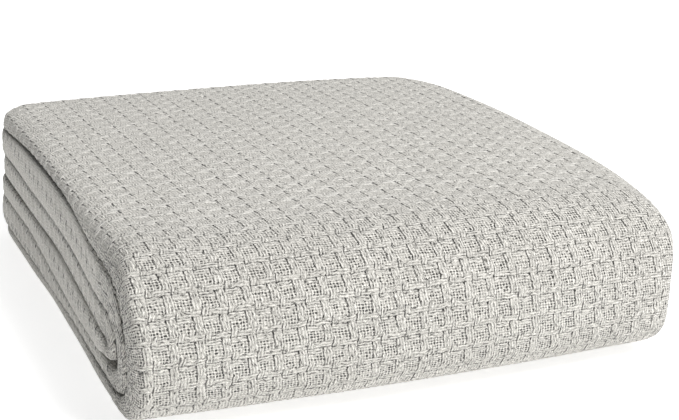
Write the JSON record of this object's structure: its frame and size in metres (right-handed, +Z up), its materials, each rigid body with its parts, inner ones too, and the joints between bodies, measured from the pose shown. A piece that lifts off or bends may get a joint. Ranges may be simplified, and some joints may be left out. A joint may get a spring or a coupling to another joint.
{
  "type": "folded cotton thermal blanket",
  "caption": "Woven cotton thermal blanket folded into a soft rectangular stack with a smooth wrapped front.",
  "frame": {"origin": "centre of the box's underside, on the surface that the folded blanket rests on", "axes": "+Z up; the smooth wrapped front faces -Y and the side that shows the folded edges faces -X"},
  "size_m": [0.3886, 0.4026, 0.106],
  "materials": {
    "stone_cotton": "matt basket-woven cotton, stone grey"
  },
  "bodies": {
    "root": {"blanket": "stone_cotton"}
  },
  "joints": []
}
